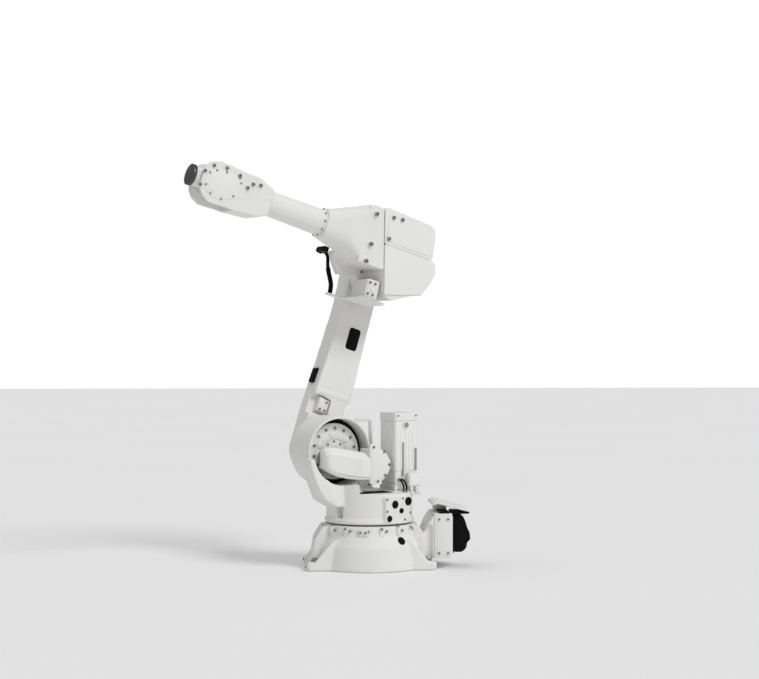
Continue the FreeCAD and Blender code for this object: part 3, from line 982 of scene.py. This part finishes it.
def wrist_lugs():
    """Screw lugs and stiffening edges on both sides of the wrist casting."""
    z = TUBE_HEIGHT
    shapes = []
    for side in (-1, 1):
        face = (side * (FORK_HALF - 5), side * (FORK_HALF + 2.6))
        low, high = min(face), max(face)
        for x, height in WRIST_BOSSES:
            lug = [(0, low), (12, low), (12, high), (0, high)]
            shapes.append(turned(lug, (x, 0, z + height), SIDEWAYS, 24))
        mark = soft([(674, z - 8), (679, z - 8), (679, z - 27), (694, z - 27), (694, z - 32), (674, z - 32)], 2)
        shapes.append(slab(mark, low, high - 0.6 if side > 0 else high))
    return shapes


def make_forearm():
    z = TUBE_HEIGHT
    profile = [(0, 0), (54, 0), (54, 7), (51, 9), (50.2, 14), (48.4, 120), (46.6, 226), (48, 232),
               (52, 236), (54, 243), (0, 243)]
    redrawn("forearm_tube", "forearm", [turned(profile, (318.6, 0, z), (1, 0, 0), 96)], 1.5)
    shoulder = turned([(0, 0), (50, 0), (53, 6), (53.5, 50), (0, 50)], (560, 0, z), (1, 0, 0), 64)
    cast("wrist_body", "forearm", "wrist_casting", [shoulder, *wrist_lugs()], voxel=2.6, rounds=5)
    outline = [(690, z + 20), (700, z + 44), (760, z + 48), (806, z + 42), (832, z + 22), (836, z - 30),
               (808, z - 58), (758, z - 64), (706, z - 36)]
    inner = [(704, z + 16), (712, z + 33), (762, z + 37), (798, z + 32), (820, z + 16), (823, z - 24),
             (800, z - 46), (756, z - 52), (718, z - 28)]
    for name, side in (("left", 1), ("right", -1)):
        shapes = [slab(soft(outline, 12), side * (FORK_HALF - 1), side * (FORK_HALF + 2.4)),
                  slab(soft(inner, 10), side * (FORK_HALF - 1), side * (FORK_HALF + 3.8))]
        redrawn("wrist_cover_" + name, "forearm", shapes, 1.2, "cover_plastic")


def make_wrist():
    barrel = turned([(0, -39), (36, -39), (39.5, -36), (39.5, 36), (36, 39), (0, 39)], (0, 0, 0), SIDEWAYS, 72)
    pins = turned([(0, -51.5), (20, -51.5), (20, 51.5), (0, 51.5)], (0, 0, 0), SIDEWAYS, 48)
    nose = turned([(0, 0), (33, 0), (35, 30), (36, 44), (36, 60), (34, 63), (34, 70), (0, 70)],
                  (0, 0, 0), (1, 0, 0), 72)
    redrawn("tilt_housing", "wrist", [barrel, pins, nose], 1.2)
    flange = cad_shape("tool_flange", "tool_flange")
    collar = turned([(0, 71), (34, 71), (34, 74), (30, 76), (0, 76)], (0, 0, 0), (1, 0, 0), 64)
    redrawn("tool_flange", "tool_flange", [flange, collar], 1.0, "dark_steel", 2)


# ---------------------------------------------------------------- screws of every link

def bolt_spots():
    """For each body: its link and its (head radius, places) pairs of socket screws."""
    x, z = AXIS_2
    wrist = TUBE_HEIGHT
    pad = Matrix.Rotation(math.radians(PAD_AZIMUTH), 4, "Z")
    pad_out = tuple(pad @ Vector((1, 0, 0)))
    pad_spots = [(tuple(pad @ Vector((DRUM_RADIUS + 4, across, height))), pad_out)
                 for across, height in ((-58, 270), (-58, 225), (58, 215), (30, 190), (20, 270))]
    radial = []
    upward = []
    for step in range(NECK_PLACES):
        angle = neck_angle(step)
        out = (math.cos(angle), math.sin(angle), 0)
        across = (-out[1], out[0])
        radial.append(((178 * out[0] + 19 * across[0], 178 * out[1] + 19 * across[1], 151), out))
        if step % 4 == 3:
            for shift in (-10, 10):
                at = (185 * out[0] + shift * across[0], 185 * out[1] + shift * across[1], 147)
                radial.append((at, out))
        elif step % 2:
            upward.append(((NECK_RADIUS * out[0], NECK_RADIUS * out[1], 165), (0, 0, 1)))
        else:
            radial.append(((181 * out[0], 181 * out[1], 160), out))
    rim = ((697, 22), (706, 38), (762, 42.5), (801, 37), (825, 20), (829, -26), (804, -52), (758, -58),
           (714, -33))
    edge = [(px, wrist + pz) for px, pz in rim]
    bosses = [(px, wrist + pz) for px, pz in WRIST_BOSSES]
    box_corners = [(-292, 60), (-292, 188), (-258, 60), (-258, 188)]
    return {
        "base": [(5.0, radial), (5.5, upward), (4.5, side_points(box_corners, 106)),
                 (4.5, side_points(box_corners, -106, -1))],
        "turntable": [
            (5.5, ring_points((x, 0, z), SIDEWAYS, 88, 14, 10, -10)),
            (4.0, ring_points((x, 0, z), SIDEWAYS, 38, 8, 0, -9)),
            (5.0, side_points([(0, 446), (-22, 396), (-4, 356), (28, 334), (46, 464)], 112)),
            (3.5, side_points([(-136, 580), (-57, 580), (-136, 300), (-57, 300)], 120)),
            (4.0, pad_spots),
            (6.0, [((-30 + dx, -94, 306), SIDEWAYS) for dx in (-26, 26)]),
        ],
        "lower_arm": [
            (4.5, ring_points((0, ARM_FAR - 5, 0), (0, -1, 0), 56, 10)),
            (4.5, ring_points((0, ARM_FAR - 5, ELBOW), (0, -1, 0), 48, 8)),
            (5.0, side_points([(26, 150), (26, 182), (48, 150)], ARM_NEAR - 2)),
        ],
        "upper_arm": [
            (8.5, side_points([spot for spot in EYES if spot[0] > 60], 91)),
            (7.5, side_points([(26, 216), (65, 212), (64, 128)], 89)),
            (5.0, side_points([(60, -50), (60, -94), (82, -50), (82, -94)], 63)),
            (6.0, ring_points((0, -50, 0), SIDEWAYS, 70, 12)),
        ],
        "forearm": [
            (3.6, side_points(edge, FORK_HALF + 2.2)),
            (3.6, side_points(edge, -FORK_HALF - 2.2, -1)),
            (7.5, side_points(bosses, FORK_HALF + 1)),
            (7.5, side_points(bosses[:3], -FORK_HALF - 1, -1)),
            (6.5, side_points([(816, wrist + 50), (845, wrist + 20), (765, wrist + 57),
                               (850, wrist - 34)], FORK_HALF)),
            (4.5, ring_points((325, 0, wrist), (1, 0, 0), 52.5, 10)),
        ],
    }


def make_screws():
    tree = screw_tree()
    socket = screw_head("socket_screw", outer=False, socket=True)
    hexagon = screw_head("anchor_bolt", outer=True, socket=False)
    for seed, (body, spots) in enumerate(bolt_spots().items()):
        screws(body + "_screws", body, spots, socket, tree, "zinc_screws", seed + 1)
    corners = [(end, side) for end in (-1, 1) for side in (-1, 1)]
    anchors = [((end * ANCHOR_X, side * ANCHOR_Y, 36), (0, 0, 1)) for end, side in corners]
    jacks = [((end * 246, side * JACK_Y, JACK_HEIGHT), (end, 0, 0)) for end, side in corners]
    screws("anchor_bolts", "base", [(12, anchors), (6, jacks)], hexagon, tree, "zinc_screws", 11)
    bpy.data.objects.remove(socket)
    bpy.data.objects.remove(hexagon)


# ---------------------------------------------------------------- stage

def sun_light(name, towards, softness, strength):
    """Broad even light from a direction."""
    light = bpy.data.lights.new(name, "SUN")
    light.angle = math.radians(softness)
    light.energy = strength
    in_scene(name, light).rotation_euler = Vector(towards).to_track_quat("Z", "Y").to_euler()


def studio_world(strength):
    """Even white surroundings that light the piece less than they shine."""
    world = bpy.data.worlds.new("studio")
    world.use_nodes = True
    nodes = world.node_tree.nodes
    links = world.node_tree.links
    lighting = nodes["Background"]
    lighting.inputs["Color"].default_value = (1.0, 1.0, 1.0, 1)
    lighting.inputs["Strength"].default_value = strength
    backdrop = nodes.new("ShaderNodeBackground")
    backdrop.inputs["Color"].default_value = (1.0, 1.0, 1.0, 1)
    seen = nodes.new("ShaderNodeLightPath")
    both = nodes.new("ShaderNodeMixShader")
    links.new(seen.outputs["Is Camera Ray"], both.inputs[0])
    links.new(lighting.outputs[0], both.inputs[1])
    links.new(backdrop.outputs[0], both.inputs[2])
    links.new(both.outputs[0], nodes["World Output"].inputs["Surface"])
    return world


def make_stage():
    settings = bpy.context.scene.arm_stage
    bm = bmesh.new()
    bmesh.ops.create_grid(bm, x_segments=8, y_segments=8, size=30)
    mesh = bpy.data.meshes.new("studio_floor")
    bm.to_mesh(mesh)
    bm.free()
    mesh.materials.append(floor_finish())
    in_scene("studio_floor", mesh)
    bpy.context.scene.world = studio_world(settings.sky)
    bpy.context.scene.view_settings.view_transform = "Standard"
    sun_light("key", (-0.55, 0.62, 0.72), 22, settings.key_power)
    sun_light("top", (0.15, -0.1, 1.0), 40, settings.key_power * 0.32)
    camera = bpy.data.cameras.new("camera")
    camera.lens = settings.lens
    camera.sensor_width = 36
    camera.shift_x = 0.0135
    camera.shift_y = 0.0149
    camera.clip_end = 100
    holder = in_scene("camera", camera)
    side = math.radians(settings.camera_side)
    away = Vector((math.sin(side), math.cos(side), 0))
    holder.location = away * settings.camera_distance + Vector((0, 0, settings.camera_height))
    holder.rotation_euler = (-away).to_track_quat("-Z", "Y").to_euler()
    bpy.context.scene.camera = holder


# ---------------------------------------------------------------- properties, operators and panel

def colour(name, default, description):
    return FloatVectorProperty(name=name, description=description, default=default, subtype="COLOR",
                               min=0, max=1)


class ArmSizes(bpy.types.PropertyGroup):
    screw_factor: FloatProperty(name="Screw factor", default=1.0, min=0.5, max=1.5,
                                description="Size of every screw head against its drawing")


class ArmColours(bpy.types.PropertyGroup):
    paint: colour("Paint", (0.80, 0.796, 0.786), "Powder coat of the castings")
    cover: colour("Covers", (0.83, 0.828, 0.82), "Moulded covers and motor housings")
    drive: colour("Drives", (0.30, 0.30, 0.31), "Painted drive parts behind the covers")
    plastic: colour("Black plastic", (0.006, 0.006, 0.006), "Plugs and connector hoods")
    rubber: colour("Black rubber", (0.004, 0.004, 0.004), "Hose")
    dark_steel: colour("Dark steel", (0.10, 0.10, 0.105), "Tool flange")
    screws: colour("Screws", (0.36, 0.36, 0.37), "Zinc-plated screws and bolts")


class ArmStage(bpy.types.PropertyGroup):
    lens: FloatProperty(name="Lens", default=78, unit="CAMERA",
                        description="Focal length on a 36 mm wide sensor")
    camera_distance: FloatProperty(name="Distance", default=6.321, unit="LENGTH",
                                   description="Camera to axis 1")
    camera_height: FloatProperty(name="Height", default=0.827, unit="LENGTH",
                                 description="Camera above the floor")
    camera_side: FloatProperty(name="Side", default=4.3,
                               description="Degrees from the left side towards the front")
    key_power: FloatProperty(name="Key light", description="Strength of the main light", default=1.4)
    sky: FloatProperty(name="Surroundings", description="Strength of the even light", default=0.42)


class ARM_OT_base(bpy.types.Operator):
    """Base casting with its feet, rear box, lid and plug"""
    bl_idname = "robot_arm.base"
    bl_label = "Base"

    def execute(self, context):
        make_base()
        return {"FINISHED"}


class ARM_OT_connectors(bpy.types.Operator):
    """Black connectors on the rear box"""
    bl_idname = "robot_arm.connectors"
    bl_label = "Connectors"

    def execute(self, context):
        make_connectors()
        return {"FINISHED"}


class ARM_OT_turntable(bpy.types.Operator):
    """Turntable casting, axis 2 drive and cover, lifting lug and plugs"""
    bl_idname = "robot_arm.turntable"
    bl_label = "Turntable"

    def execute(self, context):
        make_turntable()
        return {"FINISHED"}


class ARM_OT_axis_1_motor(bpy.types.Operator):
    """Upright axis 1 motor and its terminal box"""
    bl_idname = "robot_arm.axis_1_motor"
    bl_label = "Axis 1 motor"

    def execute(self, context):
        make_axis_1_motor()
        return {"FINISHED"}


class ARM_OT_lower_arm(bpy.types.Operator):
    """Lower arm casting with its plugs and covers"""
    bl_idname = "robot_arm.lower_arm"
    bl_label = "Lower arm"

    def execute(self, context):
        make_lower_arm()
        return {"FINISHED"}


class ARM_OT_elbow(bpy.types.Operator):
    """Elbow casting, rear cover, bracket and axis 3 motor"""
    bl_idname = "robot_arm.elbow"
    bl_label = "Elbow"

    def execute(self, context):
        make_elbow()
        return {"FINISHED"}


class ARM_OT_hose(bpy.types.Operator):
    """Black hose at the elbow"""
    bl_idname = "robot_arm.hose"
    bl_label = "Elbow hose"

    def execute(self, context):
        make_hose()
        return {"FINISHED"}


class ARM_OT_forearm(bpy.types.Operator):
    """Forearm tube, wrist casting and its covers"""
    bl_idname = "robot_arm.forearm"
    bl_label = "Forearm"

    def execute(self, context):
        make_forearm()
        return {"FINISHED"}


class ARM_OT_wrist(bpy.types.Operator):
    """Tilting wrist housing and tool flange"""
    bl_idname = "robot_arm.wrist"
    bl_label = "Wrist"

    def execute(self, context):
        make_wrist()
        return {"FINISHED"}


class ARM_OT_screws(bpy.types.Operator):
    """Screws and bolts of every link"""
    bl_idname = "robot_arm.screws"
    bl_label = "Screws"

    def execute(self, context):
        make_screws()
        return {"FINISHED"}


class ARM_OT_stage(bpy.types.Operator):
    """Floor, light and camera"""
    bl_idname = "robot_arm.stage"
    bl_label = "Stage"

    def execute(self, context):
        make_stage()
        return {"FINISHED"}


OPERATORS = (ARM_OT_base, ARM_OT_connectors, ARM_OT_turntable, ARM_OT_axis_1_motor, ARM_OT_lower_arm,
             ARM_OT_elbow, ARM_OT_hose, ARM_OT_forearm, ARM_OT_wrist, ARM_OT_screws, ARM_OT_stage)


class ARM_PT_panel(bpy.types.Panel):
    """Lists the pieces of the arm"""
    bl_idname = "ARM_PT_panel"
    bl_label = "Robot arm"
    bl_space_type = "VIEW_3D"
    bl_region_type = "UI"
    bl_category = "Robot arm"

    def draw(self, context):
        for operator in OPERATORS:
            self.layout.operator(operator.bl_idname)
        for group in (context.scene.arm_sizes, context.scene.arm_colours, context.scene.arm_stage):
            for key in group.__annotations__:
                self.layout.prop(group, key)


GROUPS = {"arm_sizes": ArmSizes, "arm_colours": ArmColours, "arm_stage": ArmStage}


def register():
    for group in GROUPS.values():
        bpy.utils.register_class(group)
    for name, group in GROUPS.items():
        setattr(bpy.types.Scene, name, PointerProperty(type=group))
    for operator in OPERATORS:
        bpy.utils.register_class(operator)
    bpy.utils.register_class(ARM_PT_panel)


def unregister():
    bpy.utils.unregister_class(ARM_PT_panel)
    for operator in reversed(OPERATORS):
        bpy.utils.unregister_class(operator)
    for name, group in GROUPS.items():
        delattr(bpy.types.Scene, name)
        bpy.utils.unregister_class(group)


def main():
    register()
    for operator in OPERATORS:
        getattr(bpy.ops.robot_arm, operator.bl_idname.split(".")[1])()


if __name__ == "__main__":
    main()
